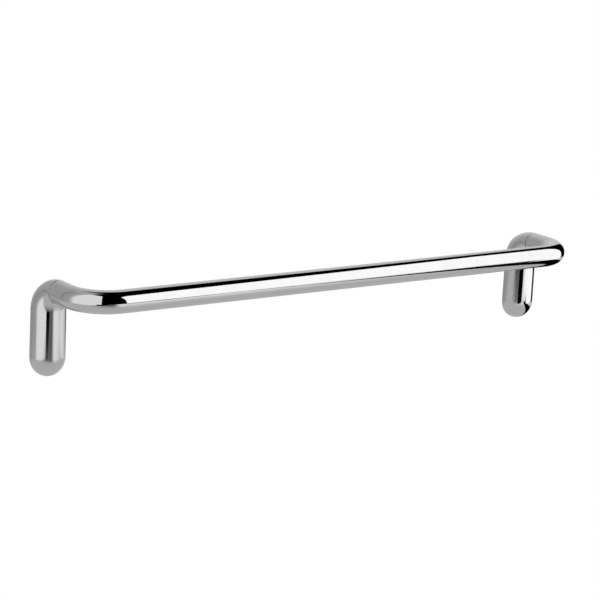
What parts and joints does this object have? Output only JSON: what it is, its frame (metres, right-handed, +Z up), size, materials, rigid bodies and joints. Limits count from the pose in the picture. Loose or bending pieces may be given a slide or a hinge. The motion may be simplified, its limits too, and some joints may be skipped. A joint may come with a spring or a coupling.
{
  "type": "grab rail",
  "caption": "Wall-mounted grab rail: a bent chrome tube on hollow round-ended posts that hide their fixings; a handhold or hanging rail for a boat's cabin or head.",
  "frame": {"origin": "on the wall plane, midway between the two posts, level with the axis of the tube", "axes": "+X along the rail, +Y into the wall, so the rail stands out towards -Y, +Z up"},
  "size_m": [0.6, 0.0917, 0.0957],
  "materials": {
    "chrome_tube": "mirror-polished chrome plate on drawn tube",
    "chrome_casting": "mirror-polished chrome plate on a die casting",
    "black_nylon": "moulded black nylon",
    "stainless_steel": "turned stainless steel",
    "pressed_stainless": "pressed stainless sheet, mill finish",
    "black_rubber": "matt black EPDM rubber"
  },
  "bodies": {
    "root": {"rail_tube": "chrome_tube", "left_post": "chrome_casting", "left_isolating_ring": "black_nylon", "left_tube_plug": "stainless_steel", "left_key_pin": "stainless_steel", "left_flat_washer": "stainless_steel", "left_lock_washer": "stainless_steel", "left_tie_screw": "stainless_steel", "left_wall_plate": "pressed_stainless", "left_set_screw": "stainless_steel", "left_gasket": "black_rubber", "right_post": "chrome_casting", "right_isolating_ring": "black_nylon", "right_tube_plug": "stainless_steel", "right_key_pin": "stainless_steel", "right_flat_washer": "stainless_steel", "right_lock_washer": "stainless_steel", "right_tie_screw": "stainless_steel", "right_wall_plate": "pressed_stainless", "right_set_screw": "stainless_steel", "right_gasket": "black_rubber"}
  },
  "joints": []
}
